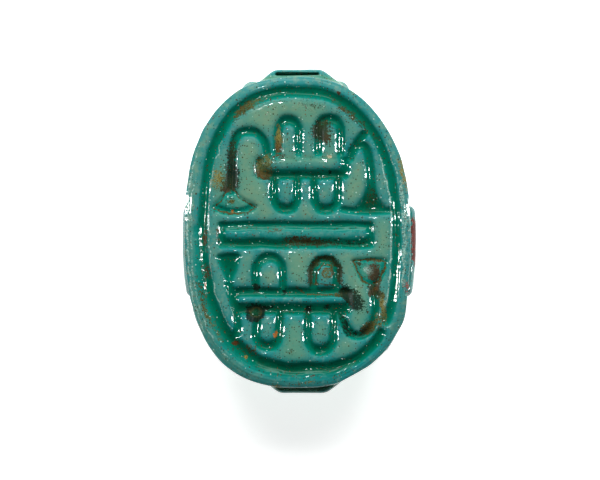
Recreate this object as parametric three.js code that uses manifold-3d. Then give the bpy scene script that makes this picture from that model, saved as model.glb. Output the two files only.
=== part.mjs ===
// Scarab amulet: a beetle on an oval plate, made in one piece and pierced from end to end for a cord.
// Millimetres, +Z up. It lies on the beetle's back with the carved plate facing up. +Y points to the head.
import * as THREE from "three";
import { mergeVertices } from "three/addons/utils/BufferGeometryUtils.js";
import Module from "manifold-3d";

const wasm = await Module();
wasm.setup();

// ---------------------------------------------------------------- driving dimensions
// Levels through the thickness are given as "below": how far a thing lies from the plate face towards the
// beetle's back. Angles are in radians, from +X towards the head.
const HEIGHT = 7.6;
const PLATE_THICKNESS = 1.35;
const PLATE_ROUNDING = 0.34;
const BORE_RADIUS = 0.8;
const BORE_BELOW = 2.95;
const CARVING_DEPTH = 0.36;
const STROKE = 0.25; // half the width of a carved groove
const SOFT_EDGE = 0.3; // rounding of the flank and of both ends

// An oval is a superellipse whose power may differ in each quarter. It may swell out or shrink at an angle.
const PLATE = {
  centre: [-0.09, -0.06],
  half: [6.03, 8.27],
  powers: { headRight: 2.25, headLeft: 2.45, tailLeft: 2.5, tailRight: 2.65 },
  swells: [
    { at: -0.46, wide: 0.16, high: 0.16 },
    { at: -1.1, wide: 0.25, high: -0.15 },
  ],
};
// The beetle's side is set in under the plate.
const FLANK = { centre: [0, -0.1], half: [5.6, 7.5], powers: PLATE.powers };
const FLANK_TOP = 0.6;
const FLANK_BOTTOM = 3.4;
const BORDER = {
  centre: [0.04, 0.07],
  half: [5.13, 7.35],
  powers: { headRight: 2.2, headLeft: 2.6, tailLeft: 2.35, tailRight: 2.95 },
};
const BORDER_HALF_WIDTH = 0.3;
const BORDER_GAP = { from: -0.7, to: -0.57 }; // the groove stops short here

// A dome is widest at `level`. Its crown reaches down to `crown`, and its other side closes up at `top`.
const CROWN = HEIGHT + 0.1; // the dome would reach a little past the flat spot that the amulet lies on
const WING_CASES = { centre: [0, -1.0], half: [5.75, 7.1], top: 2.4, level: 3.5, crown: CROWN, power: 2.3 };
const PRONOTUM = { centre: [0, 3.0], half: [5.5, 3.4], top: 2.4, level: 3.5, crown: 7.1, power: 2.5 };
const HEAD = { centre: [0, 5.8], half: [3.0, 2.5], top: 0.8, level: 2.8, crown: 5.1, power: 2.4 };
const END = { top: 1.0, bottom: 4.2, frontHalf: 1.3 };
const CLYPEUS = { ...END, front: 8.62, back: 7.0, backHalf: 3.3, shift: -0.05 };
const TAIL = { ...END, front: -8.62, back: -7.4, backHalf: 2.8, shift: 0.2 };
const EYE = { across: 2.3, shift: -0.2, y: 7.35, below: 2.6, half: [0.62, 0.68, 0.6] };

// The scored lines on the back.
const LINE_HALF_WIDTH = 0.17;
const YOKE_Y = 2.0; // where the pronotum ends
const YOKE_BOW = 0.3;

// Each leg runs back along the flank between two angles of its oval, from one level to another.
const LEG_HALF_WIDTH = 0.58;
const LEG_RELIEF = 0.42;
const LEGS = [
  { from: 1.22, to: 0.56, high: 1.95, low: 3.0, out: 0 },
  { from: 0.11, to: -0.29, high: 2.95, low: 2.05, out: 0.24 },
  { from: -0.44, to: -0.8, high: 2.95, low: 2.3, out: 0.15 },
];

// ---------------------------------------------------------------- solids and booleans
const levelZ = (below) => HEIGHT - below;

function solid(geometry) {
  const bare = geometry.index ? geometry.toNonIndexed() : geometry.clone();
  bare.deleteAttribute("normal");
  bare.deleteAttribute("uv");
  const merged = mergeVertices(bare, 1e-4);
  return new wasm.Manifold(
    new wasm.Mesh({
      numProp: 3,
      vertProperties: new Float32Array(merged.attributes.position.array),
      triVerts: new Uint32Array(merged.index.array),
    }),
  );
}

const joined = (solids) => solids.reduce((all, one) => all.add(one));

// ---------------------------------------------------------------- curves
function ovalPoint({ centre, half, powers, swells = [] }, angle, outward = 0) {
  const [c, s] = [Math.cos(angle), Math.sin(angle)];
  const { headRight, headLeft, tailLeft, tailRight } = powers;
  const power = s >= 0 ? (c >= 0 ? headRight : headLeft) : c >= 0 ? tailRight : tailLeft;
  const bent = (v) => Math.sign(v) * Math.abs(v) ** (2 / power);
  const turned = Math.atan2(s, c);
  const swell = ({ at, wide, high }) => high * Math.exp(-(((turned - at) / wide) ** 2));
  const out = swells.reduce((sum, one) => sum + swell(one), outward);
  return [centre[0] + (half[0] + out) * bent(c), centre[1] + (half[1] + out) * bent(s)];
}

// Part of an oval, from one angle and level to another.
class OvalArc extends THREE.Curve {
  constructor(oval, { from, to, high = 0, low = 0, out = 0, mirror = false }) {
    super();
    Object.assign(this, { oval, from, to, high, low, out, mirror });
  }
  getPoint(t) {
    const angle = this.from + (this.to - this.from) * t;
    const [x, y] = ovalPoint(this.oval, this.mirror ? Math.PI - angle : angle, this.out);
    return new THREE.Vector3(x, y, levelZ(this.high + (this.low - this.high) * t));
  }
}

// A loop of cord on the plate face: out from its foot line, round its end and back. `lean` slants it.
class Loop extends THREE.Curve {
  constructor({ x, foot, end, half, lean = 0 }) {
    super();
    Object.assign(this, { x, foot, end, half, lean });
  }
  getPoint(t) {
    const straight = Math.abs(this.end - this.foot) - this.half;
    const turn = Math.PI * this.half;
    const fromTop = (t - 0.5) * (2 * straight + turn);
    const angle = THREE.MathUtils.clamp(fromTop / this.half, -Math.PI / 2, Math.PI / 2);
    const drop = Math.abs(fromTop - angle * this.half);
    const along = straight - drop + this.half * Math.cos(angle);
    const x = this.x + this.half * Math.sin(angle) + (this.lean * along) / (straight + this.half);
    return new THREE.Vector3(x, this.foot + Math.sign(this.end - this.foot) * along, levelZ(0));
  }
}

function onFace(points) {
  return new THREE.CatmullRomCurve3(points.map(([x, y]) => new THREE.Vector3(x, y, levelZ(0))));
}

// ---------------------------------------------------------------- body
function ovalShape(oval, sides = 56) {
  const angles = Array.from({ length: sides }, (_, i) => (2 * Math.PI * (i + 0.5)) / sides);
  return new THREE.Shape(angles.map((angle) => new THREE.Vector2(...ovalPoint(oval, angle))));
}

// A slab of a plan shape between two levels, with rounded edges.
function slab(shape, top, bottom, rounding, segments = 2) {
  const height = bottom - top - 2 * rounding;
  const geometry = new THREE.ExtrudeGeometry(shape, {
    depth: height,
    bevelThickness: rounding,
    bevelSize: rounding,
    bevelOffset: -rounding,
    bevelSegments: segments,
  });
  return solid(geometry.translate(0, 0, levelZ(bottom - rounding)));
}

// A dome is a superellipsoid, deeper on the crown's side of its widest level than on the plate's side.
function dome({ centre, half, top, level, crown, power }) {
  const ball = new THREE.SphereGeometry(1, 32, 16).rotateX(Math.PI / 2);
  const place = ball.attributes.position;
  const p = new THREE.Vector3();
  for (let i = 0; i < place.count; i += 1) {
    p.fromBufferAttribute(place, i);
    const reach = (Math.abs(p.x) ** power + Math.abs(p.y) ** power + Math.abs(p.z) ** power) ** (1 / power);
    p.divideScalar(reach);
    const rise = p.z > 0 ? level - top : crown - level;
    place.setXYZ(i, centre[0] + half[0] * p.x, centre[1] + half[1] * p.y, levelZ(level) + rise * p.z);
  }
  return solid(ball);
}

// How far a dome's skin lies below the plate face over a point of the plan.
function domeBelow({ centre, half, level, crown, power }, x, y) {
  const [u, v] = [(x - centre[0]) / half[0], (y - centre[1]) / half[1]];
  const rest = 1 - Math.abs(u) ** power - Math.abs(v) ** power;
  return rest > 0 ? level + (crown - level) * rest ** (1 / power) : level;
}

// The head's shield and the tail are blunt wedges that stick out past the plate.
function wedge({ front, frontHalf, back, backHalf, top, bottom, shift }) {
  const corners = [
    [shift - backHalf, back],
    [shift + backHalf, back],
    [shift + frontHalf, front],
    [shift - frontHalf, front],
  ];
  const plan = new THREE.Shape(corners.map(([x, y]) => new THREE.Vector2(x, y)));
  return slab(plan, top, bottom, SOFT_EDGE);
}

function eye(side) {
  const ball = new THREE.SphereGeometry(1, 12, 8).scale(...EYE.half);
  return solid(ball.translate(EYE.shift + side * EYE.across, EYE.y, levelZ(EYE.below)));
}

// ---------------------------------------------------------------- strokes along a curve
// A round-ended rod bent along a curve: `across` is its half width, `deep` its half height.
function rod(curve, across, deep, steps) {
  const length = curve.getLength();
  const geometry = new THREE.CapsuleGeometry(across, length, 2, 10, steps);
  const place = geometry.attributes.position;
  const up = new THREE.Vector3(0, 0, 1);
  for (let i = 0; i < place.count; i += 1) {
    const [x, y, z] = [place.getX(i), place.getY(i), place.getZ(i)];
    const t = THREE.MathUtils.clamp(0.5 + y / length, 0, 1);
    const along = curve.getTangentAt(t);
    const side = new THREE.Vector3().crossVectors(along, up).normalize();
    const out = new THREE.Vector3().crossVectors(side, along);
    const p = curve.getPointAt(t).addScaledVector(along, y - (t - 0.5) * length);
    p.addScaledVector(side, x).addScaledVector(out, (z * deep) / across);
    place.setXYZ(i, p.x, p.y, p.z);
  }
  return solid(geometry);
}

const groove = (curve, steps = 11, half = STROKE) => rod(curve, half, CARVING_DEPTH, steps);
const leg = (run, mirror) => rod(new OvalArc(FLANK, { ...run, mirror }), LEG_RELIEF, LEG_HALF_WIDTH, 8);

// ---------------------------------------------------------------- carving tools for the plate face
// A flat-bottomed pocket with sloping sides.
function pocket(corners, deep = CARVING_DEPTH) {
  const slope = deep / 3.6;
  const plan = new THREE.Shape(corners.map(([x, y]) => new THREE.Vector2(x, y)));
  const cut = new THREE.ExtrudeGeometry(plan, {
    depth: deep,
    bevelThickness: deep / 2,
    bevelSize: slope,
    bevelOffset: -slope,
    bevelSegments: 1,
  });
  return solid(cut.translate(0, 0, levelZ(deep / 2)));
}

// A long pocket with a round rib left standing along it, as a cord that binds the loops.
function ribbedBar({ x0, x1, y0, y1, ribHalf, ribY, ribSunk }) {
  const turn = (y1 - y0) / 3;
  const corners = [
    [x0 + turn, y0],
    [x1 - turn, y0],
    [x1, y0 + turn],
    [x1, y1 - turn],
    [x1 - turn, y1],
    [x0 + turn, y1],
    [x0, y1 - turn],
    [x0, y0 + turn],
  ];
  const length = x1 - x0 - 4 * ribHalf;
  const rib = new THREE.CapsuleGeometry(1, length / ribHalf, 3, 12).rotateZ(Math.PI / 2);
  rib.scale(ribHalf, ribHalf, CARVING_DEPTH).translate((x0 + x1) / 2, ribY, levelZ(CARVING_DEPTH + ribSunk));
  return pocket(corners).subtract(solid(rib));
}

// A flower seen from the side: its edges run from a narrow neck to a wide, curved mouth. With a flare over 1
// they spread late, as a trumpet's do; under 1 they spread early, as a cup's do.
function flower({ neck, neckHalf, mouth, left, right, bulge, flare, sunk }) {
  const [nx, ny] = neck;
  const steps = 5;
  const edge = (sideX, sign) =>
    Array.from({ length: steps }, (_, i) => {
      const t = i / (steps - 1);
      return [nx + sign * neckHalf + (sideX - nx - sign * neckHalf) * t ** flare, ny + (mouth - ny) * t];
    });
  const lip = [0.3, 0.7].map((t) => [right + (left - right) * t, mouth + bulge]);
  return pocket([...edge(right, 1), ...lip, ...edge(left, -1).reverse()], sunk);
}

// ---------------------------------------------------------------- the carved pattern
const HEAD_KNOT = { x0: -2.34, x1: 2.69, y0: 2.71, y1: 3.97, ribHalf: 0.3, ribY: 3.55, ribSunk: 0.05 };
const MIDDLE_BAR = { x0: -4.35, x1: 4.01, y0: -0.94, y1: 0.55, ribHalf: 0.28, ribY: -0.14, ribSunk: 0.06 };
const TAIL_KNOT = { x0: -3.5, x1: 2.79, y0: -4.45, y1: -2.95, ribHalf: 0.2, ribY: -3.64, ribSunk: 0.05 };

const LOOPS = [
  { x: -0.57, foot: 4.15, end: 5.9, half: 0.55 },
  { x: 1.6, foot: 4.15, end: 5.95, half: 0.6 },
  { x: -0.71, foot: 2.9, end: 1.18, half: 0.62 },
  { x: 1.41, foot: 2.9, end: 1.13, half: 0.63 },
  { x: -1.58, foot: -3.1, end: -1.38, half: 0.72 },
  { x: 1.36, foot: -3.1, end: -1.52, half: 0.61 },
  { x: -1.6, foot: -4.3, end: -6.1, half: 0.6, lean: -0.1 },
  { x: 1.13, foot: -4.3, end: -6.32, half: 0.67 },
];

const STEMS = [
  [[-1.65, 4.04], [-1.81, 4.67], [-2.3, 5.2], [-3.0, 5.25], [-3.42, 4.8], [-3.56, 3.77], [-3.64, 2.1]],
  [[2.74, 4.2], [3.43, 5.15]],
  [[2.7, 3.85], [2.95, 4.4], [3.45, 4.5], [3.7, 3.9], [3.77, 3.2], [3.8, 2.4]],
  [[2.3, 1.14], [3.7, 1.02], [4.8, 1.1]],
  [[-3.71, -2.84], [-3.5, -3.63], [-3.34, -4.43], [-3.26, -5.22], [-3.55, -5.75]],
  [[2.16, -4.27], [2.42, -4.96], [2.85, -5.5], [3.4, -5.5], [3.9, -4.95], [4.06, -3.9], [3.96, -2.84]],
];

const TRUMPET = { neckHalf: 0.26, flare: 2.6, sunk: 0.36 };
const FAN = { neckHalf: 0.16, flare: 1.9, sunk: 0.2 };
const BUD = { neckHalf: 0.16, flare: 1.1, sunk: 0.34 };
const CUP = { neckHalf: 0.21, flare: 0.5, sunk: 0.22 };
const FLOWERS = [
  { ...FAN, neck: [-3.63, 2.3], mouth: 1.3, left: -4.56, right: -2.29, bulge: -0.36 },
  { ...TRUMPET, neck: [3.8, 2.75], mouth: 1.22, left: 2.8, right: 4.7, bulge: -0.3 },
  { ...BUD, neck: [-3.7, -2.8], mouth: -1.3, left: -4.42, right: -3.02, bulge: 0.2 },
  { ...CUP, neck: [3.8, -2.74], mouth: -1.58, left: 2.86, right: 4.6, bulge: 0.06 },
];

// ---------------------------------------------------------------- the amulet
function beetle() {
  return joined([
    slab(ovalShape(PLATE), 0, PLATE_THICKNESS, PLATE_ROUNDING),
    slab(ovalShape(FLANK), FLANK_TOP, FLANK_BOTTOM, SOFT_EDGE, 1),
    dome(WING_CASES),
    dome(PRONOTUM),
    dome(HEAD),
    wedge(CLYPEUS),
    wedge(TAIL),
    eye(-1),
    eye(1),
    ...LEGS.flatMap((run) => [leg(run, false), leg(run, true)]),
  ]);
}

function carving() {
  const rim = { from: BORDER_GAP.to, to: 2 * Math.PI + BORDER_GAP.from };
  return joined([
    groove(new OvalArc(BORDER, rim), 56, BORDER_HALF_WIDTH),
    ...[HEAD_KNOT, MIDDLE_BAR, TAIL_KNOT].map(ribbedBar),
    ...LOOPS.map((loop) => groove(new Loop(loop))),
    ...STEMS.map((stem) => groove(onFace(stem), 2 * stem.length)),
    ...FLOWERS.map(flower),
  ]);
}

// Lines scored on the back: between the wing cases, behind the pronotum, and a notch at each shoulder.
function scoredLines() {
  const onBack = (points) => {
    const places = points.map(([x, y]) => {
      const below = Math.max(domeBelow(WING_CASES, x, y), domeBelow(PRONOTUM, x, y));
      return new THREE.Vector3(x, y, levelZ(below));
    });
    return rod(new THREE.CatmullRomCurve3(places), LINE_HALF_WIDTH, LINE_HALF_WIDTH, 2 * points.length);
  };
  const seam = [YOKE_Y, 0, -2, -4, -6, -7.6].map((y) => [0, y]);
  const yoke = [-5.2, -4, -2, 0, 2, 4, 5.2].map((x) => [x, YOKE_Y + YOKE_BOW * (1 - (x / 5) ** 2)]);
  const notches = [-1, 1].map((side) => [[side * 4.9, 1.7], [side * 3.9, 0.6], [side * 4.9, -0.1]]);
  return joined([seam, yoke, ...notches].map(onBack));
}

function bore() {
  const drill = new THREE.CylinderGeometry(BORE_RADIUS, BORE_RADIUS, 20, 20);
  return solid(drill.translate(0, 0, levelZ(BORE_BELOW)));
}

// Everything past the crown's level is taken off, so that the amulet lies still on its back.
function belowRest() {
  return solid(new THREE.BoxGeometry(20, 20, 2).translate(0, 0, -1));
}

function amulet() {
  const cuts = [carving(), scoredLines(), bore(), belowRest()];
  const { vertProperties, triVerts } = beetle().subtract(joined(cuts)).getMesh();
  const geometry = new THREE.BufferGeometry();
  geometry.setAttribute("position", new THREE.BufferAttribute(vertProperties, 3));
  geometry.setIndex(new THREE.BufferAttribute(triVerts, 1));
  return geometry;
}

const glaze = new THREE.MeshStandardMaterial({ color: 0x2f9c93, roughness: 0.18, metalness: 0 });
const scarab = new THREE.Mesh(amulet(), glaze);
scarab.name = "scarab";

const part = new THREE.Group();
part.add(scarab);
export default part;
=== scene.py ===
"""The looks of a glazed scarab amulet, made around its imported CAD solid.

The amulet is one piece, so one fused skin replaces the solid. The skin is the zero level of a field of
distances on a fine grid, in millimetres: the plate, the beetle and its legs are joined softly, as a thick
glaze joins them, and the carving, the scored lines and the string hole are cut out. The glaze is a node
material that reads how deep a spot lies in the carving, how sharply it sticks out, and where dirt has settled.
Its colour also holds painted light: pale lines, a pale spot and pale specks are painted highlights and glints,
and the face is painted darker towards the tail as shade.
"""

import math

import bpy
import numpy as np
import openvdb
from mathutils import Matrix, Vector


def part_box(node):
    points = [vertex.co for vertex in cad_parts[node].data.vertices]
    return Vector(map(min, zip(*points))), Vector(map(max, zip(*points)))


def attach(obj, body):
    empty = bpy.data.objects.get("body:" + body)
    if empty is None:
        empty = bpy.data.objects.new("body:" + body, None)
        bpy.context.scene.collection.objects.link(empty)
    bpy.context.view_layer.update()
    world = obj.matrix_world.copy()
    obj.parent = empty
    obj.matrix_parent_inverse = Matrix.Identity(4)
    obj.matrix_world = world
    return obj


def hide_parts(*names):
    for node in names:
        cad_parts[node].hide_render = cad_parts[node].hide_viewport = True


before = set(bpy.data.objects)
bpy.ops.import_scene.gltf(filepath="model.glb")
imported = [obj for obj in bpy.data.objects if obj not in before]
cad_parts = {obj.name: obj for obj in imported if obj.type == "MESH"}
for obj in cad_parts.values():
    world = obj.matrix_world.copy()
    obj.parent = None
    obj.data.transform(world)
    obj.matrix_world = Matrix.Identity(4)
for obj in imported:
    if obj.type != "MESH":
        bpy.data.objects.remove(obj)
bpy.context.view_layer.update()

MM = 0.001
VOXEL = 0.05
LOW, HIGH = [np.array(corner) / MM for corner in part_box("scarab")]
HEIGHT = float(HIGH[2])

# ------------------------------------------------------------------ sizes of the solid, in millimetres
PLATE_THICKNESS = 1.35
PLATE_ROUNDING = 0.34
BORE_RADIUS = 0.8
BORE_BELOW = 2.95
CARVING_DEPTH = 0.36
GLAZE_POOL = 2.3
STROKE = 0.25
PLATE = {"centre": (-0.09, -0.06), "half": (6.03, 8.27), "powers": (2.25, 2.45, 2.5, 2.65)}
SWELLS = [(-0.46, 0.16, 0.16), (-1.1, 0.25, -0.15)]
FLANK = {"centre": (0, -0.1), "half": (5.6, 7.5), "powers": PLATE["powers"]}
FLANK_BOTTOM = 3.4
BORDER = {"centre": (0.04, 0.07), "half": (5.13, 7.35), "powers": (2.2, 2.6, 2.35, 2.95)}
BORDER_GAP = (-0.7, -0.57)

BACK = {"top": 2.4, "level": 3.5}
WING_CASES = {**BACK, "centre": (0, -1.0), "half": (5.75, 7.1), "crown": HEIGHT + 0.1, "power": 2.3}
PRONOTUM = {**BACK, "centre": (0, 3.0), "half": (5.5, 3.4), "crown": 7.1, "power": 2.5}
HEAD = {"centre": (0, 5.8), "half": (3.0, 2.5), "top": 0.8, "level": 2.8, "crown": 5.1, "power": 2.4}
END = {"top": 1.0, "bottom": 4.2, "front_half": 1.3}
CLYPEUS = {**END, "front": 8.62, "back": 7.0, "back_half": 3.3, "shift": -0.05}
TAIL = {**END, "front": -8.62, "back": -7.4, "back_half": 2.8, "shift": 0.2}
SLOT = {"x0": -1.2, "x1": 1.0, "y": 8.36, "half": 0.06, "bottom": 1.45}
EYE = {"across": 2.3, "shift": -0.2, "y": 7.35, "below": 2.6, "half": (0.62, 0.68, 0.6)}

YOKE_Y = 2.0
YOKE_BOW = 0.3
YOKE_END = 5.6
SEAM_END = -8.0
SHOULDER_NOTCH = [(5.3, 1.7), (3.9, 0.7), (5.3, -0.1)]
LINE_DEPTH = 0.2
LINE_WIDTH = 0.13
TOOL_MARK_SPACING = 0.17
TOOL_MARK_DEPTH = 0.012
LEG_HALF_WIDTH = 0.58
LEG_RELIEF = 0.42
LEGS = [
    {"start": 1.22, "end": 0.56, "high": 1.95, "low": 3.0, "out": 0},
    {"start": 0.11, "end": -0.29, "high": 2.95, "low": 2.05, "out": 0.24},
    {"start": -0.44, "end": -0.8, "high": 2.95, "low": 2.3, "out": 0.15},
]
HEAD_KNOT = {"x0": -2.34, "x1": 2.69, "y0": 2.71, "y1": 3.97, "rib_half": 0.4, "rib_y": 3.55, "sunk": 0.04}
MIDDLE_BAR = {
    "x0": -4.35,
    "x1": 4.01,
    "y0": -0.94,
    "y1": 0.55,
    "rib_half": 0.34,
    "rib_y": -0.14,
    "sunk": 0.08,
}
TAIL_KNOT = {
    "x0": -3.5,
    "x1": 2.79,
    "y0": -4.45,
    "y1": -2.95,
    "rib_half": 0.23,
    "rib_y": -3.64,
    "sunk": 0.06,
}
LOOPS = [
    {"x": -0.57, "foot": 4.15, "end": 5.9, "half": 0.55},
    {"x": 1.6, "foot": 4.15, "end": 5.95, "half": 0.6},
    {"x": -0.71, "foot": 2.9, "end": 1.18, "half": 0.62},
    {"x": 1.41, "foot": 2.9, "end": 1.13, "half": 0.63},
    {"x": -1.58, "foot": -3.1, "end": -1.38, "half": 0.72},
    {"x": 1.36, "foot": -3.1, "end": -1.52, "half": 0.61},
    {"x": -1.6, "foot": -4.3, "end": -6.1, "half": 0.6, "lean": -0.1},
    {"x": 1.13, "foot": -4.3, "end": -6.32, "half": 0.67},
]
STEMS = [
    [(-1.65, 4.04), (-1.81, 4.67), (-2.3, 5.2), (-3.0, 5.25), (-3.42, 4.8), (-3.56, 3.77), (-3.64, 2.1)],
    [(2.74, 4.2), (3.43, 5.15)],
    [(2.7, 3.85), (2.95, 4.4), (3.45, 4.5), (3.7, 3.9), (3.77, 3.2), (3.8, 2.4)],
    [(-3.71, -2.84), (-3.5, -3.63), (-3.34, -4.43), (-3.26, -5.22), (-3.55, -5.75)],
    [(2.16, -4.27), (2.42, -4.96), (2.85, -5.5), (3.4, -5.5), (3.9, -4.95), (4.06, -3.9), (3.96, -2.84)],
]
# Each flower: its shape, how far its face is sunk, and how deep its outline is scored.
FLOWERS = [
    ((-3.63, 2.3), 0.16, 1.3, -4.56, -2.29, -0.36, 1.9, 0.1, 0.2),
    ((3.8, 2.75), 0.26, 1.22, 2.8, 4.7, -0.3, 2.6, 0.36, 0.0),
    ((-3.7, -2.8), 0.16, -1.3, -4.42, -3.02, 0.2, 1.1, 0.34, 0.0),
    ((3.8, -2.74), 0.21, -1.58, 2.86, 4.6, 0.06, 0.5, 0.12, 0.26),
]
# Further strokes of the carver: a line, half its width, and its depth.
TOUCHES = [
    ([(-1.9, 2.98), (2.3, 2.98)], 0.2, 0.42),
    ([(-4.0, -0.66), (3.7, -0.66)], 0.2, 0.4),
    ([(-3.1, -4.12), (2.5, -4.12)], 0.22, 0.38),
    ([(2.3, 1.14), (3.7, 1.02), (4.8, 1.1)], 0.2, 0.34),
    ([(-4.3, 1.27), (-3.9, 1.08), (-3.4, 1.02), (-2.9, 1.1), (-2.5, 1.3)], 0.2, 0.3),
]


# ------------------------------------------------------------------ soft joins and uneven surfaces
def soft_min(a, b, blend):
    h = np.clip(0.5 + 0.5 * (b - a) / blend, 0, 1)
    return b + (a - b) * h - blend * h * (1 - h)


def soft_max(a, b, blend):
    return -soft_min(-a, -b, blend)


def smoothstep(low, high, value):
    t = np.clip((value - low) / (high - low), 0, 1)
    return t * t * (3 - 2 * t)


def ripple(x, y, wavelength, seed):
    """A gentle unevenness between about -1 and 1: a few waves that run in random directions."""
    rng = np.random.default_rng(seed)
    total = 0
    turns = rng.uniform(0, math.pi, 5)
    phases = rng.uniform(0, 2 * math.pi, 5)
    stretches = rng.uniform(0.7, 1.5, 5)
    for turn, phase, stretch in zip(turns, phases, stretches):
        k = 2 * math.pi / (wavelength * stretch)
        total = total + np.sin(k * (x * math.cos(turn) + y * math.sin(turn)) + phase)
    return total / 3


def blurred(values, reach):
    """Three box blurs along every axis, close to a round blur that reaches about so many millimetres."""
    cells = max(1, round(reach / (1.4 * VOXEL)))
    width = 2 * cells + 1
    for axis in [axis for axis in range(values.ndim) for _ in range(3)]:
        pad = [(cells + (i == axis) * 1, cells) if i == axis else (0, 0) for i in range(values.ndim)]
        sums = np.cumsum(np.pad(values, pad, mode="edge"), axis=axis)
        length = sums.shape[axis]
        ahead = np.take(sums, range(width, length), axis)
        values = (ahead - np.take(sums, range(length - width), axis)) / width
    return values


# ------------------------------------------------------------------ curves of the plan
def oval_power(oval, u, v):
    head_right, head_left, tail_left, tail_right = oval["powers"]
    return np.where(v >= 0, np.where(u >= 0, head_right, head_left), np.where(u >= 0, tail_right, tail_left))


def oval_arc(oval, start, end, count, out=0):
    """Points along an oval between two angles, as (x, y) rows."""
    angle = np.linspace(start, end, count)
    c, s = np.cos(angle), np.sin(angle)
    power = 2 / oval_power(oval, c, s)
    x = oval["centre"][0] + (oval["half"][0] + out) * np.sign(c) * np.abs(c) ** power
    y = oval["centre"][1] + (oval["half"][1] + out) * np.sign(s) * np.abs(s) ** power
    return np.column_stack([x, y])


# The part of a loop's points that is the arch, where the carver cut wider.
ARCH = slice(6, -6)


def loop_line(x, foot, end, half, lean=0):
    """A loop of cord: out from its foot line, round its end and back."""
    straight = abs(end - foot) - half
    turn = np.linspace(-math.pi / 2, math.pi / 2, 17)
    across = np.concatenate([[-half], half * np.sin(turn), [half]])
    along = np.concatenate([[0], straight + half * np.cos(turn), [0]])
    leaning = lean * along / (straight + half)
    return np.column_stack([x + across + leaning, foot + np.sign(end - foot) * along])


def smooth_line(points, per_span=8):
    """A Catmull-Rom curve through the points."""
    p = np.array(points, float)
    p = np.vstack([2 * p[0] - p[1], p, 2 * p[-1] - p[-2]])
    t = np.linspace(0, 1, per_span, endpoint=False)[:, None]
    spans = []
    for a, b, c, d in zip(p, p[1:], p[2:], p[3:]):
        bend = (2 * a - 5 * b + 4 * c - d) * t**2
        twist = (3 * b - a - 3 * c + d) * t**3
        spans.append(0.5 * (2 * b + (c - a) * t + bend + twist))
    return np.vstack([*spans, p[-2:-1]])


def flower_edge(neck, neck_half, mouth, left, right, bulge, flare):
    """A flower seen from the side: edges that flare from a narrow neck to a wide, curved mouth."""
    t = np.linspace(0, 1, 12)
    sides = []
    for edge, sign in ((right, 1), (left, -1)):
        x = neck[0] + sign * neck_half + (edge - neck[0] - sign * neck_half) * t**flare
        sides.append(np.column_stack([x, neck[1] + (mouth - neck[1]) * t]))
    swing = np.linspace(0, math.pi, 9)[1:-1]
    lip = np.column_stack([right + (left - right) * (1 - np.cos(swing)) / 2, mouth + bulge * np.sin(swing)])
    return np.vstack([sides[0], lip, sides[1][::-1]])


# ------------------------------------------------------------------ distances in the plan
def to_line(x, y, line):
    """Distance from each spot to a chain of straight spans."""
    best = np.full(np.broadcast(x, y).shape, 1e9)
    for (ax, ay), (bx, by) in zip(line, line[1:]):
        dx, dy = bx - ax, by - ay
        t = np.clip(((x - ax) * dx + (y - ay) * dy) / max(dx * dx + dy * dy, 1e-12), 0, 1)
        best = np.minimum(best, (x - ax - t * dx) ** 2 + (y - ay - t * dy) ** 2)
    return np.sqrt(best)


def inside_outline(x, y, corners):
    """Distance to a closed outline, positive inside it."""
    inside = np.zeros(np.broadcast(x, y).shape, bool)
    for (ax, ay), (bx, by) in zip(corners, np.roll(corners, -1, axis=0)):
        if ay != by:
            crosses = ((ay > y) != (by > y)) & (x < (bx - ax) * (y - ay) / (by - ay) + ax)
            inside ^= crosses
    distance = to_line(x, y, np.vstack([corners, corners[:1]]))
    return np.where(inside, distance, -distance)


def outside_oval(x, y, oval, swells=()):
    """Distance to an oval, negative inside it. A swell is an angle, a width and how far it stands out."""
    u, v = (x - oval["centre"][0]) / oval["half"][0], (y - oval["centre"][1]) / oval["half"][1]
    power = oval_power(oval, u, v)
    reach = (np.abs(u) ** power + np.abs(v) ** power) ** (1 / power)
    slope_x, slope_y = np.gradient(reach, VOXEL)
    distance = (reach - 1) / np.maximum(np.hypot(slope_x, slope_y), 0.05)
    angle = np.arctan2(np.sign(v) * np.abs(v) ** (power / 2), np.sign(u) * np.abs(u) ** (power / 2))
    for place, wide, high in swells:
        distance = distance - high * np.exp(-(((angle - place) / wide) ** 2))
    return distance


# ------------------------------------------------------------------ the carving, as a map of depths
def channel(distance, half, deep=CARVING_DEPTH):
    """A groove with a round bottom and steep sides."""
    return deep * np.exp(-1.6 * (distance / half) ** 2.6)


def pocket(depth_inside, deep=CARVING_DEPTH, wall=0.2):
    return deep * smoothstep(-0.4 * wall, wall, depth_inside)


def rounded_box(x, y, x0, x1, y0, y1, corner=0.25):
    """Distance to a rectangle with round corners, positive inside it."""
    qx = np.abs(x - (x0 + x1) / 2) - (x1 - x0) / 2 + corner
    qy = np.abs(y - (y0 + y1) / 2) - (y1 - y0) / 2 + corner
    return corner - np.hypot(np.maximum(qx, 0), np.maximum(qy, 0)) - np.minimum(np.maximum(qx, qy), 0)


def ribbed_bar(x, y, x0, x1, y0, y1, rib_half, rib_y, sunk):
    """A long pocket in which a round rib is left standing, as the cord that binds the loops."""
    hollow = pocket(rounded_box(x, y, x0, x1, y0, y1))
    rib = to_line(x, y, [(x0 + 1.8 * rib_half, rib_y), (x1 - 1.8 * rib_half, rib_y)])
    return np.where(hollow > sunk, hollow - (hollow - sunk) * np.exp(-((rib / rib_half) ** 3)), hollow)


def flower_cut(x, y, *shape):
    """A flower's face, sunk a little, with a scored outline."""
    *edge, sunk, outline = shape
    inside = inside_outline(x, y, flower_edge(*edge))
    return np.maximum(pocket(inside, sunk, 0.25), channel(np.abs(inside), 0.13, outline))


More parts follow.
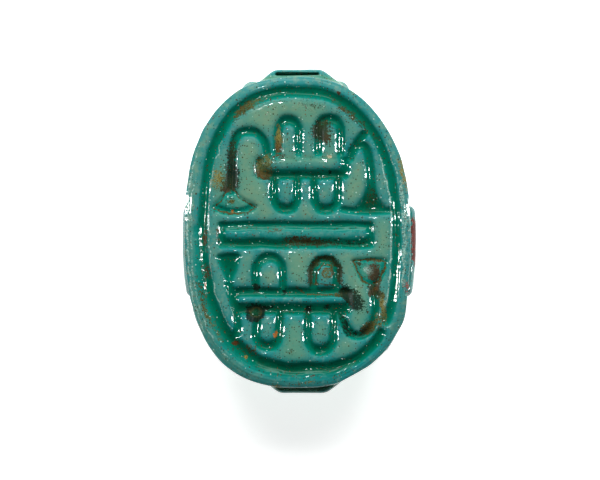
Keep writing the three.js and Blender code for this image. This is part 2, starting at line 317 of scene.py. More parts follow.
def carved_depth(x, y):
    """How far the carving goes into the plate at each spot of its face."""
    wx = x + 0.03 * ripple(x, y, 1.7, 11)
    wy = y + 0.03 * ripple(x, y, 1.9, 12)
    cuts = [ribbed_bar(wx, wy, **bar) for bar in (HEAD_KNOT, MIDDLE_BAR, TAIL_KNOT)]
    cuts += [channel(to_line(wx, wy, loop_line(**loop)), STROKE) for loop in LOOPS]
    cuts += [channel(to_line(wx, wy, loop_line(**loop)[ARCH]), 1.25 * STROKE) for loop in LOOPS]
    cuts += [channel(to_line(wx, wy, smooth_line(stem)), STROKE) for stem in STEMS]
    cuts += [channel(to_line(wx, wy, line), half, deep) for line, half, deep in TOUCHES]
    cuts += [flower_cut(wx, wy, *flower) for flower in FLOWERS]
    border = oval_arc(BORDER, BORDER_GAP[1], 2 * math.pi + BORDER_GAP[0], 160)
    end_on = np.abs((y - BORDER["centre"][1]) / BORDER["half"][1]) ** 3
    cuts.append(channel(to_line(wx, wy, border), 0.27 + 0.11 * end_on))
    bank = oval_arc(BORDER, math.pi, math.pi * 1.6, 60, 0.3)
    cuts.append(channel(to_line(wx, wy, bank), 0.45, 0.16))
    depth = np.zeros(x.shape)
    for cut in cuts:
        depth = soft_max(depth, cut, 0.05)
    return 0.72 * blurred(depth, 0.05) + 0.55 * blurred(depth, 0.34)


# ------------------------------------------------------------------ the body, as distances in space
def dome_field(x, y, below, dome):
    """Roughly the distance to a dome of the beetle's back. x, y and below are rows, columns and layers."""
    power = dome["power"]
    u = np.abs((x - dome["centre"][0]) / dome["half"][0]) ** power
    v = np.abs((y - dome["centre"][1]) / dome["half"][1]) ** power
    rise = np.where(below > dome["level"], dome["crown"] - dome["level"], dome["level"] - dome["top"])
    w = np.abs((below - dome["level"]) / rise) ** power
    reach = (u + v + w) ** (1 / power)
    return (reach - 1) * 0.5 * (dome["crown"] - dome["level"] + min(dome["half"]))


def slab_field(plan_distance, below, top, bottom, rounding):
    """A slab of a plan shape between two levels, with rounded edges."""
    across = plan_distance[:, :, None] + rounding
    through = np.abs(below - (top + bottom) / 2) - (bottom - top) / 2 + rounding
    corner = np.hypot(np.maximum(across, 0), np.maximum(through, 0))
    return corner + np.minimum(np.maximum(across, through), 0) - rounding


def wedge_outline(front, front_half, back, back_half, shift):
    half = np.array([-back_half, back_half, front_half, -front_half])
    return np.column_stack([half + shift, [back, back, front, front]])


def add_leg(field, axes, start, end, high, low, out, mirror):
    """Joins a leg to the field inside the leg's own box."""
    plan = oval_arc(FLANK, start, end, 13, out)
    if mirror:
        plan[:, 0] = 2 * FLANK["centre"][0] - plan[:, 0]
    below = np.linspace(high, low, len(plan))
    reach = 1.5 * LEG_HALF_WIDTH
    window = tuple(
        slice(*np.searchsorted(axis, [run.min() - reach, run.max() + reach]))
        for axis, run in zip(axes[:2], plan.T)
    )
    layers = np.abs(axes[2] - (high + low) / 2) < abs(high - low) / 2 + reach
    first, last = np.flatnonzero(layers)[[0, -1]]
    window += (slice(first, last + 1),)
    x = axes[0][window[0]][:, None, None]
    y = axes[1][window[1]][None, :, None]
    b = axes[2][window[2]][None, None, :]
    squash = LEG_RELIEF / LEG_HALF_WIDTH
    best = np.full((x.size, y.size, b.size), 1e9)
    for (ax, ay), (bx, by), a_below, b_below in zip(plan, plan[1:], below, below[1:]):
        dx, dy, db = bx - ax, by - ay, (b_below - a_below) * squash
        t = ((x - ax) * dx + (y - ay) * dy + (b - a_below) * squash * db) / (dx * dx + dy * dy + db * db)
        t = np.clip(t, 0, 1)
        near = (x - ax - t * dx) ** 2 + (y - ay - t * dy) ** 2 + ((b - a_below) * squash - t * db) ** 2
        best = np.minimum(best, near)
    leg = np.sqrt(best) - LEG_RELIEF
    field[window] = soft_min(field[window], leg, 0.12)


def scored_lines(x, y):
    """Depth of the lines on the back: between the wing cases, behind the pronotum, at each shoulder."""
    yoke = [(px, YOKE_Y + YOKE_BOW * (1 - (px / 5) ** 2)) for px in np.linspace(-YOKE_END, YOKE_END, 15)]
    lines = [[(0, YOKE_Y), (0, SEAM_END)], yoke]
    lines += [[(side * px, py) for px, py in SHOULDER_NOTCH] for side in (-1, 1)]
    depth = np.zeros(x.shape)
    for line in lines:
        depth = np.maximum(depth, LINE_DEPTH * np.exp(-((to_line(x, y, line) / LINE_WIDTH) ** 2)))
    return depth


def amulet_field(axes, depth):
    """The amulet's field on the grid: negative in the glazed body."""
    x, y, z = axes
    plan_x, plan_y = x[:, None] + 0 * y[None, :], y[None, :] + 0 * x[:, None]
    below = HEIGHT - z
    x3, y3, b3 = x[:, None, None], y[None, :, None], below[None, None, :]
    hand = 0.03 * ripple(plan_x, plan_y, 4.5, 21) + 0.012 * ripple(plan_x, plan_y, 1.3, 22) + 0.03

    # the beetle
    field = dome_field(x3, y3, b3, WING_CASES)
    field = soft_min(field, dome_field(x3, y3, b3, PRONOTUM), 0.08)
    field = field + scored_lines(plan_x, plan_y)[:, :, None] * smoothstep(3.6, 4.2, b3)
    field = soft_min(field, dome_field(x3, y3, b3, HEAD), 0.12)
    for side in (-1, 1):
        middle = EYE["shift"] + side * EYE["across"]
        eye = ((x3 - middle) / EYE["half"][0]) ** 2 + ((y3 - EYE["y"]) / EYE["half"][1]) ** 2
        eye = (np.sqrt(eye + ((b3 - EYE["below"]) / EYE["half"][2]) ** 2) - 1) * min(EYE["half"])
        field = soft_min(field, eye, 0.1)
    flank = outside_oval(plan_x, plan_y, FLANK)
    field = soft_min(field, slab_field(flank, b3, 0.6, FLANK_BOTTOM, 0.3), 0.1)
    for wedge in (CLYPEUS, TAIL):
        plan = {key: wedge[key] for key in ("front", "front_half", "back", "back_half", "shift")}
        outline = blurred(-inside_outline(plan_x, plan_y, wedge_outline(**plan)), 0.2)
        field = soft_min(field, slab_field(outline, b3, wedge["top"], wedge["bottom"], 0.3), 0.12)
    across_slot = to_line(plan_x, plan_y, [(SLOT["x0"], SLOT["y"]), (SLOT["x1"], SLOT["y"])])
    slot = np.minimum(SLOT["half"] - across_slot[:, :, None], SLOT["bottom"] - b3)
    field = soft_max(field, slot, 0.05)
    for leg in LEGS:
        for mirror in (False, True):
            add_leg(field, (x, y, below), **leg, mirror=mirror)
    field += (hand * 0.8)[:, :, None]

    # the plate and its carving
    edge = outside_oval(plan_x, plan_y, PLATE, SWELLS)
    plate = slab_field(edge + hand, b3, 0, PLATE_THICKNESS, PLATE_ROUNDING)
    field = soft_min(field, plate, 0.1)
    fall = 0.3 * smoothstep(-0.9, 0.1, edge) ** 2
    on_rim = smoothstep(-1.0, -0.6, edge)
    marks = np.sin(edge * 2 * math.pi / TOOL_MARK_SPACING + 1.5 * ripple(plan_x, plan_y, 6.0, 33)) * on_rim
    uneven = 0.5 + 0.5 * ripple(plan_x, plan_y, 3.0, 34)
    depth = depth + fall + 0.01 * (1 + ripple(plan_x, plan_y, 3.1, 31)) + TOOL_MARK_DEPTH * marks * uneven
    slope_x, slope_y = np.gradient(depth, VOXEL)
    steep = 1 / np.sqrt(1 + slope_x**2 + slope_y**2)
    face = (depth[:, :, None] - b3) * steep[:, :, None]
    field = soft_max(field, face, 0.06)

    # the string hole, and the flat spot that it lies on
    bore = BORE_RADIUS - np.hypot(x3, b3 - BORE_BELOW) + 0 * y3
    field = soft_max(field, bore, 0.12)
    return np.maximum(field, -z[None, None, :])


# ------------------------------------------------------------------ from the field to a mesh
MOST_TRIANGLES = 194_000
FACE_LEVEL = HEIGHT - 1.1
BACK_SHARE = 0.3


def grid_axes(step):
    return [np.arange(low - 4 * step, high + 5 * step, step) for low, high in zip(LOW, HIGH)]


def trilinear(values, axes, points):
    """Reads a grid of values at points between its nodes. Any number of axes from two up."""
    cells, shares = [], []
    for axis, places in zip(axes, points.T):
        position = np.clip((places - axis[0]) / (axis[1] - axis[0]), 0, len(axis) - 1.001)
        cells.append(position.astype(int))
        shares.append(position - cells[-1])
    total = 0
    for corner in range(2 ** len(axes)):
        steps = [(corner >> i) & 1 for i in range(len(axes))]
        weight = 1
        for share, step in zip(shares, steps):
            weight = weight * (share if step else 1 - share)
        total = total + weight * values[tuple(cell + step for cell, step in zip(cells, steps))]
    return total


def mesh_of(points, quads):
    mesh = bpy.data.meshes.new("scarab_skin")
    mesh.vertices.add(len(points))
    mesh.vertices.foreach_set("co", points.astype(np.float32).ravel())
    mesh.loops.add(quads.size)
    mesh.loops.foreach_set("vertex_index", quads.astype(np.int32).ravel())
    mesh.polygons.add(len(quads))
    mesh.polygons.foreach_set("loop_start", np.arange(0, quads.size, quads.shape[1], dtype=np.int32))
    mesh.update(calc_edges=True)
    mesh.validate()
    return mesh


def thinned(mesh):
    """The mesh with spots merged, on the back first, until it has no more than so many triangles."""
    holder = bpy.data.objects.new("thinning", mesh)
    bpy.context.scene.collection.objects.link(holder)
    back = holder.vertex_groups.new(name="back")
    is_back = vertex_places(mesh)[:, 2] < FACE_LEVEL
    back.add(np.flatnonzero(is_back).tolist(), 1, "REPLACE")
    triangles = 2 * len(mesh.polygons)
    on_back = triangles * np.mean(is_back)
    first = holder.modifiers.new("thin the back", "DECIMATE")
    first.vertex_group = back.name
    first.vertex_group_factor = 1000
    first.ratio = (triangles - on_back + BACK_SHARE * MOST_TRIANGLES) / triangles
    second = holder.modifiers.new("thin the rest", "DECIMATE")
    second.ratio = min(1, MOST_TRIANGLES / (triangles * first.ratio))
    second.use_collapse_triangulate = True
    result = bpy.data.meshes.new_from_object(holder.evaluated_get(bpy.context.evaluated_depsgraph_get()))
    bpy.data.objects.remove(holder)
    return result


def vertex_places(mesh):
    places = np.empty(3 * len(mesh.vertices), np.float32)
    mesh.vertices.foreach_get("co", places)
    return places.reshape(-1, 3) / MM


def set_value(mesh, name, values):
    layer = mesh.attributes.new(name, "FLOAT", "POINT")
    layer.data.foreach_set("value", np.ascontiguousarray(values, np.float32))


def make_skin():
    axes = grid_axes(VOXEL)
    plan_x, plan_y = axes[0][:, None] + 0 * axes[1][None, :], axes[1][None, :] + 0 * axes[0][:, None]
    depth = carved_depth(plan_x, plan_y)
    field = amulet_field(axes, depth)
    grid = openvdb.FloatGrid(3 * VOXEL)
    grid.copyFromArray(np.clip(field, -3 * VOXEL, 3 * VOXEL).astype(np.float32))
    points, quads = grid.convertToQuads(0.0)
    points = np.clip(points * VOXEL + [axis[0] for axis in axes], LOW, HIGH)
    mesh = thinned(mesh_of(points * MM, quads))

    places = vertex_places(mesh)
    slopes = np.gradient(np.clip(field, -4 * VOXEL, 4 * VOXEL).astype(np.float32), VOXEL)
    normals = np.column_stack([trilinear(slope, axes, places) for slope in slopes])
    normals /= np.maximum(np.linalg.norm(normals, axis=1, keepdims=True), 1e-6)
    mesh.shade_smooth()
    mesh.normals_split_custom_set_from_vertices(normals)

    coarse = [axis[::2] for axis in axes]
    solid = smoothstep(VOXEL, -VOXEL, field[::2, ::2, ::2]).astype(np.float32)
    shut_in = trilinear(blurred(solid, 0.14), coarse, places)
    set_value(mesh, "shut_in", shut_in)
    on_face = smoothstep(HEIGHT - 1.0, HEIGHT - 0.7, places[:, 2])
    # painted shade: the face is made darker towards the tail, away from the light at the head; the back is
    # tinted greener
    tail_shade_and_back_tint = 0.1 * smoothstep(-3.0, -7.5, places[:, 1]) * on_face + 0.24 * (1 - on_face)
    set_value(mesh, "carved", trilinear(depth, axes[:2], places[:, :2]) * GLAZE_POOL * on_face + tail_shade_and_back_tint)
    stain_and_highlight_colour, stain_and_highlight_cover = stains_and_highlights_at(places)
    set_value(mesh, "stain_and_highlight_cover", stain_and_highlight_cover)
    layer = mesh.attributes.new("stain_and_highlight_colour", "FLOAT_COLOR", "POINT")
    opaque = np.column_stack([stain_and_highlight_colour, np.ones(len(places))]).astype(np.float32)
    layer.data.foreach_set("color", opaque.ravel())

    skin = bpy.data.objects.new("scarab_skin", mesh)
    bpy.context.scene.collection.objects.link(skin)
    return skin


# ------------------------------------------------------------------ colours
def srgb(red, green, blue):
    """A colour given in the usual 0 to 255 steps, as the linear numbers that a shader takes."""
    shares = [value / 255 for value in (red, green, blue)]
    return tuple(s / 12.92 if s <= 0.04045 else ((s + 0.055) / 1.055) ** 2.4 for s in shares)


MUD = srgb(50, 56, 28)
DIRT = srgb(84, 74, 32)
SOOT = srgb(12, 24, 16)
RUST = srgb(84, 46, 18)
OCHRE = srgb(136, 124, 60)
OLIVE = srgb(100, 104, 56)
ORANGE = srgb(208, 120, 40)
CREAM = srgb(214, 204, 168)
RED = srgb(150, 40, 20)
DEEP_GREEN = srgb(6, 78, 46)
# the pale colour of the painted highlights on groove lips, rim and flower
PAINTED_HIGHLIGHT = srgb(160, 208, 196)


def ring(x, y, radius):
    turn = np.linspace(0, 2 * math.pi, 21)
    return np.column_stack([x + radius * np.cos(turn), y + radius * np.sin(turn)])


# Where dirt has settled, and one painted highlight: middle, half lengths, turn in degrees, colour, and how
# much it covers.
DIRT_AND_HIGHLIGHT_SPOTS = [
    # in the border groove
    ((-2.97, 6.42), (0.75, 0.24), 40, DIRT, 0.75),
    ((-2.2, 6.85), (0.6, 0.16), 25, OLIVE, 0.4),
    ((3.1, 5.84), (1.5, 0.2), -43, MUD, 0.42),
    ((2.5, 6.3), (0.9, 0.14), -38, DIRT, 0.45),
    ((-4.98, 0.1), (0.13, 0.9), 2, DIRT, 0.4),
    ((-5.0, -0.4), (0.12, 0.3), 0, RUST, 0.7),
    ((-4.93, -2.05), (0.26, 0.45), 5, RUST, 0.5),
    ((-4.93, -2.87), (0.06, 0.14), 10, ORANGE, 0.95),
    ((-5.14, -3.5), (0.2, 1.2), 14, DIRT, 0.5),
    ((-4.6, -4.9), (0.2, 1.1), 28, OLIVE, 0.42),
    ((-3.38, -5.95), (0.16, 0.16), 0, RUST, 1.0),
    ((-2.81, -6.67), (0.1, 0.08), 0, OCHRE, 0.9),
    # round the flower at the upper left, and its stem
    ((-3.55, 3.2), (0.34, 0.95), 4, SOOT, 0.9),
    ((-3.7, 2.5), (0.5, 0.35), 20, MUD, 0.8),
    ((-3.5, 4.4), (0.26, 0.8), -4, MUD, 0.55),
    ((-4.33, 2.8), (0.34, 0.6), -16, OCHRE, 0.62),
    ((-3.88, 2.18), (0.24, 0.15), -20, RUST, 0.95),
    ((-3.58, 1.6), (0.2, 0.16), 0, OLIVE, 0.7),
    ((-3.53, 1.05), (0.06, 0.06), 0, ORANGE, 1.0),
    # the left end of the upper knot, and the loops above it
    ((-1.85, 3.5), (0.52, 0.62), 0, OLIVE, 0.72),
    ((-2.0, 3.0), (0.4, 0.2), -25, RUST, 0.8),
    ((-1.6, 2.85), (0.3, 0.12), 0, SOOT, 0.6),
    ((-1.08, 5.0), (0.18, 0.6), 0, OCHRE, 0.75),
    ((-1.1, 4.45), (0.17, 0.28), 0, RUST, 0.95),
    ((-1.1, 3.95), (0.26, 0.1), 0, RUST, 0.6),
    ((1.18, 5.35), (0.5, 0.62), -15, MUD, 0.85),
    ((1.05, 5.2), (0.24, 0.34), 0, SOOT, 0.6),
    ((1.5, 4.85), (0.22, 0.3), 20, RUST, 0.7),
    ((0.75, 6.65), (0.7, 0.35), -10, MUD, 0.33),
    ((1.63, 3.93), (0.11, 0.09), -20, CREAM, 1.0),
    ((1.63, 3.12), (0.09, 0.09), 0, SOOT, 1.0),
    # the flower at the right
    ((3.85, 1.75), (0.36, 0.7), 0, MUD, 0.42),
    # the middle bar
    ((0.5, -0.58), (1.6, 0.26), 0, MUD, 0.55),
    ((0.1, -0.4), (0.9, 0.16), 0, RUST, 0.45),
    ((2.6, -0.62), (1.4, 0.2), 0, SOOT, 0.3),
    ((-1.3, 0.05), (0.4, 0.14), 10, DIRT, 0.5),
    ((-4.3, -0.1), (0.1, 0.5), 0, DIRT, 0.45),
    # the lower knot, its loops and the black patches beside it
    ((1.47, -2.2), (0.24, 0.24), 0, OLIVE, 0.7),
    ((-1.65, -4.02), (0.32, 0.16), 0, SOOT, 0.8),
    ((-2.27, -3.0), (0.18, 0.26), 0, SOOT, 0.9),
    ((-0.78, -3.2), (0.14, 0.2), 0, SOOT, 0.6),
    ((-2.37, -4.32), (0.5, 0.48), 0, SOOT, 0.42),
    ((-2.32, -4.3), (0.2, 0.2), 0, DEEP_GREEN, 1.0),
    ((0.52, -4.12), (0.18, 0.2), 20, SOOT, 0.9),
    ((1.49, -3.98), (0.18, 0.12), 0, SOOT, 0.7),
    ((2.85, -3.6), (0.8, 0.4), -48, SOOT, 0.9),
    ((2.55, -3.3), (0.5, 0.35), -48, MUD, 0.5),
    ((-1.23, -5.47), (0.1, 0.16), -30, ORANGE, 0.95),
    ((-3.66, -2.01), (0.06, 0.06), 0, SOOT, 1.0),
    # the flower at the lower right, and its hooked stem
    ((3.93, -2.15), (0.32, 0.46), 0, RUST, 0.9),
    ((4.1, -2.3), (0.2, 0.3), 0, SOOT, 0.55),
    # a painted highlight: a pale spot on the flower's face
    ((3.6, -2.05), (0.24, 0.2), -30, PAINTED_HIGHLIGHT, 0.9),
    ((3.18, -1.72), (0.14, 0.12), 0, MUD, 0.9),
    ((3.98, -3.12), (0.3, 0.36), 0, MUD, 0.95),
    ((4.02, -3.05), (0.1, 0.08), 0, ORANGE, 0.85),
    ((3.85, -3.2), (0.1, 0.08), 0, RUST, 0.9),
    ((4.43, -3.9), (0.16, 0.6), 8, OCHRE, 0.72),
    ((4.3, -4.7), (0.34, 0.42), 0, OLIVE, 0.55),
    ((3.67, -5.06), (0.36, 0.32), 40, DIRT, 0.9),
    ((3.5, -5.25), (0.3, 0.2), 30, SOOT, 0.5),
    ((2.42, -4.96), (0.2, 0.6), 18, SOOT, 0.6),
    ((2.95, -5.45), (0.5, 0.18), -10, SOOT, 0.5),
    # over the lower field
    ((-2.55, -6.26), (0.45, 0.24), -15, DIRT, 0.52),
    ((-0.49, -6.39), (0.26, 0.16), 0, DIRT, 0.5),
    ((0.75, -7.65), (0.07, 0.08), 0, RUST, 1.0),
    # on the rim
    ((2.1, 7.32), (0.12, 0.09), -35, RUST, 1.0),
    ((5.5, 3.3), (0.22, 1.15), 12, OCHRE, 0.62),
    ((5.42, 2.16), (0.09, 0.09), 0, SOOT, 0.9),
    ((-1.25, -8.2), (0.3, 0.13), -10, OCHRE, 0.6),
    ((0.3, -8.05), (0.6, 0.16), 5, OCHRE, 0.42),
    ((5.7, -2.95), (0.2, 0.34), 0, RED, 0.5),
]

# Dirt along edges and cracks, and painted highlights as pale lines along lips and the rim: a line, half its
# width, colour, and how much it covers.
DIRT_AND_HIGHLIGHT_LINES = [
    (flower_edge(*FLOWERS[0][:-2]), 0.045, DIRT, 0.85),
    (flower_edge(*FLOWERS[3][:-2]), 0.06, DIRT, 0.9),
    (
        [(0.58, -2.75), (0.62, -1.95), (1.1, -1.4), (1.7, -1.42), (2.12, -1.9), (2.14, -2.6)],
        0.17,
        MUD,
        0.95,
    ),
    ([(0.9, -2.8), (0.92, -2.1), (1.3, -1.72), (1.7, -1.78), (1.85, -2.3)], 0.045, DIRT, 0.8),
    ([(0.87, -2.82), (1.95, -2.84)], 0.045, DIRT, 0.8),
    (ring(1.47, -2.2, 0.27), 0.05, DIRT, 0.8),
    (ring(-2.35, -4.3, 0.36), 0.14, SOOT, 1.0),
    # painted highlights: pale lines along the lips of the border groove and along the rim, where light glints
    (oval_arc(BORDER, -0.45, 0.55, 24, -0.3), 0.045, PAINTED_HIGHLIGHT, 0.75),
    (oval_arc(BORDER, -0.1, 0.6, 24, 0.3), 0.035, PAINTED_HIGHLIGHT, 0.6),
    (oval_arc(BORDER, 0.8 * math.pi, 1.25 * math.pi, 24, -0.3), 0.035, PAINTED_HIGHLIGHT, 0.6),
    (oval_arc(PLATE, 0.85 * math.pi, 1.2 * math.pi, 24, -0.2), 0.05, PAINTED_HIGHLIGHT, 0.6),
    (oval_arc(PLATE, 0.9 * math.pi, 1.3 * math.pi, 24, -0.4), 0.04, PAINTED_HIGHLIGHT, 0.5),
    (oval_arc(PLATE, -0.25, 0.3, 24, -0.35), 0.09, PAINTED_HIGHLIGHT, 0.55),
    (ring(-2.3, -4.28, 0.25), 0.04, DIRT, 0.8),
    ([(-0.17, -3.0), (0.45, -3.29), (1.21, -3.42), (2.32, -3.39)], 0.045, DIRT, 0.8),
    ([(2.3, -3.3), (2.7, -3.65), (3.1, -4.1)], 0.12, SOOT, 0.9),
    ([(3.7, -2.85), (3.98, -3.15), (4.4, -3.4)], 0.1, MUD, 0.9),
    ([(4.3, -2.6), (3.98, -3.15), (3.7, -3.4)], 0.08, RUST, 0.7),
]
CHIP = {"x": 5.95, "y": (-2.1, 1.0), "below": (1.3, 3.2)}


def laid_over(under, over, cover, here):
    """The colour and cover once another patch of dirt, or a painted highlight, lies over the first."""
    share = (here / np.maximum(here + cover, 1e-6))[:, None]
    return under + (np.array(over) - under) * share, 1 - (1 - cover) * (1 - here)


def stains_and_highlights_at(places):
    """The colour and cover of the dirt, and of the pale painted highlights laid in among it. But for the
    chipped leg, it lies on the plate's face.
    """
    x, y, z = places.T
    wx = x + 0.05 * ripple(x, y, 0.7, 51)
    wy = y + 0.05 * ripple(x, y, 0.6, 52)
    below = HEIGHT - z
    upper = smoothstep(1.6, 0.9, below)
    colour, cover = np.tile(DIRT, (len(places), 1)), np.zeros(len(places))
    for (cx, cy), (rx, ry), turn, tint, strength in DIRT_AND_HIGHLIGHT_SPOTS:
        c, s = math.cos(math.radians(turn)), math.sin(math.radians(turn))
        u = ((wx - cx) * c + (wy - cy) * s) / rx
        v = ((wy - cy) * c - (wx - cx) * s) / ry
        here = strength * np.exp(-0.8 * (u**2 + v**2) ** 1.5) * upper
        colour, cover = laid_over(colour, tint, cover, here)
    for line, half, tint, strength in DIRT_AND_HIGHLIGHT_LINES:
        near = strength * np.exp(-((to_line(wx, wy, line) / half) ** 2)) * upper
        colour, cover = laid_over(colour, tint, cover, near)
    chip = smoothstep(-0.05, 0.1, wx + 0.1 * ripple(y, z, 0.6, 53) - CHIP["x"])
    for value, (low, high) in ((wy, CHIP["y"]), (below, CHIP["below"])):
        value = value + 0.15 * ripple(y, z, 0.5, 54)
        chip = chip * smoothstep(low, low + 0.7, value) * smoothstep(high, high - 0.7, value)
    soot = 0.5 + 0.5 * np.sin(9 * wy)
    colour, cover = laid_over(colour, RED, cover, 0.9 * chip)
    return laid_over(colour, SOOT, cover, 0.8 * chip * soot)


# ------------------------------------------------------------------ the glaze
class Nodes:
    """Adds shader nodes to a material with less writing."""

    def __init__(self, name):
        self.material = bpy.data.materials.new(name)
        self.material.use_nodes = True
        self.tree = self.material.node_tree
        self.shader = self.tree.nodes["Principled BSDF"]

    def add(self, kind, inputs=None, **settings):
        node = self.tree.nodes.new(kind)
        for name, value in settings.items():
            setattr(node, name, value)
        for name, value in (inputs or {}).items():
            self.join(value, node.inputs[name])
        return node

    def join(self, value, socket):
        if isinstance(value, bpy.types.NodeSocket):
            self.tree.links.new(value, socket)
        else:
            socket.default_value = value

    def attribute(self, name, output="Fac"):
        return self.add("ShaderNodeAttribute", attribute_name=name).outputs[output]

    def math(self, operation, *values, clamp=False):
        inputs = dict(enumerate(values))
        return self.add("ShaderNodeMath", inputs, operation=operation, use_clamp=clamp).outputs[0]

    def range(self, value, low, high, to_low=0.0, to_high=1.0, smooth=True):
        kind = "SMOOTHSTEP" if smooth else "LINEAR"
        names = {"Value": value, "From Min": low, "From Max": high}
        names.update({"To Min": to_low, "To Max": to_high})
        return self.add("ShaderNodeMapRange", names, interpolation_type=kind).outputs["Result"]

    def mix(self, share, a, b, blend="MIX"):
        node = self.add("ShaderNodeMix", data_type="RGBA", blend_type=blend)
        for socket, value in ((node.inputs[0], share), (node.inputs[6], a), (node.inputs[7], b)):
            self.join((*value, 1) if isinstance(value, tuple) else value, socket)
        return node.outputs[2]

    def noise(self, scale, detail=3, roughness=0.55, **extra):
        vector = self.add("ShaderNodeTexCoord").outputs["Object"]
        inputs = {"Vector": vector, "Scale": scale / MM, "Detail": detail, "Roughness": roughness, **extra}
        return self.add("ShaderNodeTexNoise", inputs, noise_dimensions="3D").outputs["Fac"]

    def ramp(self, value, stops):
        node = self.add("ShaderNodeValToRGB", {"Fac": value})
        band = node.color_ramp
        while len(band.elements) < len(stops):
            band.elements.new(0.5)
        for element, (place, colour) in zip(band.elements, stops):
            element.position = place
            element.color = (*colour, 1)
        return node.outputs["Color"]


def specks(nodes, per_mm, radius, share):
    """Small round spots scattered in space: 1 inside a spot, 0 outside it."""
    vector = nodes.add("ShaderNodeTexCoord").outputs["Object"]
    cells = nodes.add("ShaderNodeTexVoronoi", {"Vector": vector, "Scale": per_mm / MM}, feature="F1")
    spread = nodes.add("ShaderNodeSeparateColor", {"Color": cells.outputs["Color"]})
    size = nodes.range(spread.outputs["Red"], 1 - share, 1, 0.0, radius * per_mm, smooth=False)
    return nodes.math("LESS_THAN", cells.outputs["Distance"], size)


def glaze_material():
    nodes = Nodes("turquoise glaze")
    carved, shut_in = nodes.attribute("carved"), nodes.attribute("shut_in")
    clouds = nodes.noise(0.55, 4)
    mottle = nodes.noise(2.6, 4, 0.6)
    grain = nodes.noise(8.0, 2, 0.6)
    dust = nodes.noise(17.0, 2, 0.7)

    # how thick the glaze lies: in the carving and in corners; the carved value also carries painted shade
    # towards the tail
    hollow = nodes.range(shut_in, 0.5, 0.8)
    thick = nodes.math("MAXIMUM", carved, nodes.math("MULTIPLY", hollow, 0.9))
    thick = nodes.math("ADD", thick, nodes.math("MULTIPLY", nodes.math("SUBTRACT", clouds, 0.5), 0.34))
    thick = nodes.math("ADD", thick, nodes.math("MULTIPLY", nodes.math("SUBTRACT", grain, 0.5), 0.2))
    colour = nodes.ramp(
        thick,
        [
            (0.0, srgb(112, 152, 126)),
            (0.24, srgb(88, 148, 126)),
            (0.4, srgb(16, 134, 118)),
            (0.6, srgb(0, 116, 96)),
            (0.85, srgb(0, 98, 74)),
            (1.0, srgb(0, 76, 54)),
        ],
    )
    # the rim and other edges: bluer, with patches of pale grey
    edge = nodes.range(shut_in, 0.5, 0.36)
    colour = nodes.mix(nodes.math("MULTIPLY", edge, 0.8), colour, srgb(34, 132, 134))
    pale_grey_patches = nodes.math("MULTIPLY", nodes.range(mottle, 0.48, 0.7), edge)
    colour = nodes.mix(nodes.math("MULTIPLY", pale_grey_patches, 0.45), colour, srgb(120, 158, 142))
    dry = nodes.math("MULTIPLY", nodes.range(mottle, 0.42, 0.65), nodes.range(thick, 0.3, 0.1))
    colour = nodes.mix(nodes.math("MULTIPLY", dry, 0.35), colour, srgb(128, 152, 118))

    # dirt with its painted highlights, the dark specks and pits that are scattered all over, and pale specks
    # that are painted glints
    cover = nodes.attribute("stain_and_highlight_cover")
    shown = nodes.math("MULTIPLY_ADD", nodes.math("SUBTRACT", grain, 0.5), 1.5, cover)
    shown = nodes.math("MULTIPLY_ADD", nodes.math("SUBTRACT", dust, 0.5), 1.6, shown)
    shown = nodes.math("MULTIPLY_ADD", nodes.math("SUBTRACT", mottle, 0.5), 0.8, shown)
    broken = nodes.math("MULTIPLY", nodes.range(shown, 0.3, 0.6), nodes.range(cover, 0.02, 0.2))
    # dirt together with the painted highlights on lips, rim and flower
    dirt_and_highlight_tint = nodes.attribute("stain_and_highlight_colour", "Color")
    dirt_and_highlight_tint = nodes.mix(nodes.range(dust, 0.5, 0.62), dirt_and_highlight_tint, (0.3, 0.26, 0.2), "MULTIPLY")
    colour = nodes.mix(nodes.math("MULTIPLY", broken, 0.92), colour, dirt_and_highlight_tint)
    dots = [
        (3.3, 0.06, 0.3, srgb(66, 46, 22)),
        (8.0, 0.044, 0.7, srgb(56, 52, 26)),
        (6.1, 0.038, 0.45, srgb(110, 66, 28)),
    ]
    pits = 0.0
    for per_mm, radius, share, tint in dots:
        spot = specks(nodes, per_mm, radius, share)
        colour = nodes.mix(nodes.math("MULTIPLY", spot, 0.8), colour, tint)
        pits = nodes.math("MAXIMUM", spot, pits)
    # painted glints: pale specks in the colour stand in for sparkles of light on the glaze
    pale = nodes.math("MULTIPLY", specks(nodes, 5.3, 0.04, 0.4), 0.7)
    colour = nodes.mix(pale, colour, srgb(190, 226, 212))

    nodes.join(colour, nodes.shader.inputs["Base Color"])
    rough = nodes.range(mottle, 0.3, 0.75, 0.04, 0.13)
    rough = nodes.math("ADD", rough, nodes.math("MULTIPLY", broken, 0.3))
    nodes.join(rough, nodes.shader.inputs["Roughness"])
    nodes.join(nodes.range(broken, 0.1, 0.8, 0.5, 0.1), nodes.shader.inputs["Specular IOR Level"])
    nodes.shader.inputs["IOR"].default_value = 1.5

    waves = nodes.math("MULTIPLY", nodes.noise(2.0, 0), 0.16)
    height = nodes.math("MULTIPLY_ADD", nodes.noise(4.5, 0), 0.07, waves)
    height = nodes.math("SUBTRACT", height, nodes.math("MULTIPLY", pits, 0.06))
    calm_edge = nodes.range(edge, 0.0, 1.0, 1.0, 0.35)
    bump = nodes.add("ShaderNodeBump", {"Strength": calm_edge, "Distance": 0.1 * MM, "Height": height})
    nodes.join(bump.outputs["Normal"], nodes.shader.inputs["Normal"])
    return nodes.material


# ------------------------------------------------------------------ camera, floor and light
def add_camera():
    view_width = 31.746
    distance = 300
    camera = bpy.data.objects.new("camera", bpy.data.cameras.new("camera"))
    camera.data.sensor_width = 36
    camera.data.lens = 36 * distance / view_width
    camera.data.clip_start = 0.01
    camera.data.clip_end = 10
    camera.location = Vector((0.04, -0.46, HEIGHT + distance)) * MM
    bpy.context.scene.collection.objects.link(camera)
    bpy.context.scene.camera = camera


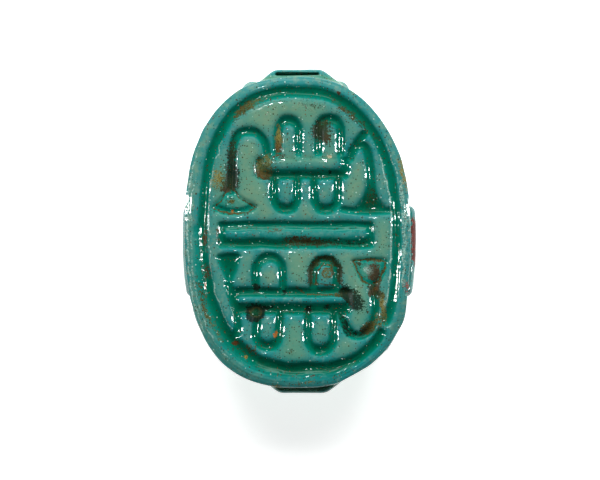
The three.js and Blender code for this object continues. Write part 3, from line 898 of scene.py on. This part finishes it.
def add_light(name, place, size, power, fills=True, mirrored=True):
    light = bpy.data.lights.new(name, "AREA")
    light.shape = "RECTANGLE"
    light.size, light.size_y = size[0] * MM, size[1] * MM
    light.energy = power
    lamp = bpy.data.objects.new(name, light)
    lamp.location = Vector(place) * MM
    aim = Vector((0, 0, HEIGHT)) * MM - lamp.location
    lamp.rotation_euler = aim.to_track_quat("-Z", "Y").to_euler()
    lamp.visible_diffuse = fills
    lamp.visible_glossy = mirrored
    bpy.context.scene.collection.objects.link(lamp)


def add_floor():
    mesh = bpy.data.meshes.new("floor")
    reach = 2.0
    spots = [(-reach, -reach, 0), (reach, -reach, 0), (reach, reach, 0), (-reach, reach, 0)]
    mesh.from_pydata(spots, [], [(0, 1, 2, 3)])
    floor = bpy.data.objects.new("floor", mesh)
    paper = Nodes("white paper")
    paper.shader.inputs["Base Color"].default_value = (0.9, 0.9, 0.9, 1)
    paper.shader.inputs["Roughness"].default_value = 0.9
    paper.shader.inputs["Emission Color"].default_value = (1, 1, 1, 1)
    paper.shader.inputs["Emission Strength"].default_value = 0.8
    mesh.materials.append(paper.material)
    bpy.context.scene.collection.objects.link(floor)


def add_world():
    """A room that is pale near the horizon and dark overhead, where the camera is."""
    world = bpy.data.worlds.new("studio")
    world.use_nodes = True
    tree = world.node_tree
    split = tree.nodes.new("ShaderNodeSeparateXYZ")
    tree.links.new(tree.nodes.new("ShaderNodeTexCoord").outputs["Generated"], split.inputs[0])
    fade = tree.nodes.new("ShaderNodeMapRange")
    for name, value in {"From Min": 0.2, "From Max": 0.95, "To Min": 0.12, "To Max": 0.04}.items():
        fade.inputs[name].default_value = value
    tree.links.new(split.outputs["Z"], fade.inputs["Value"])
    tree.links.new(fade.outputs["Result"], tree.nodes["Background"].inputs["Strength"])
    bpy.context.scene.world = world


# ------------------------------------------------------------------ the scene
bpy.context.scene.view_settings.view_transform = "Standard"
add_camera()
add_world()
add_floor()
add_light("softbox at the head", (0, 220, 280), (300, 200), 1.75, mirrored=False)
add_light("glow at the head", (0, 300, 200), (300, 60), 0.12)
add_light("strip at the left", (-300, 20, 80), (12, 300), 0.85, fills=False)
add_light("strip at the right", (300, 20, 80), (12, 300), 0.85, fills=False)
add_light("lamp over the head", (-30, 110, 300), (12, 12), 0.08, fills=False)

skin = make_skin()
skin.data.materials.append(glaze_material())
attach(skin, "root")
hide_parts("scarab")
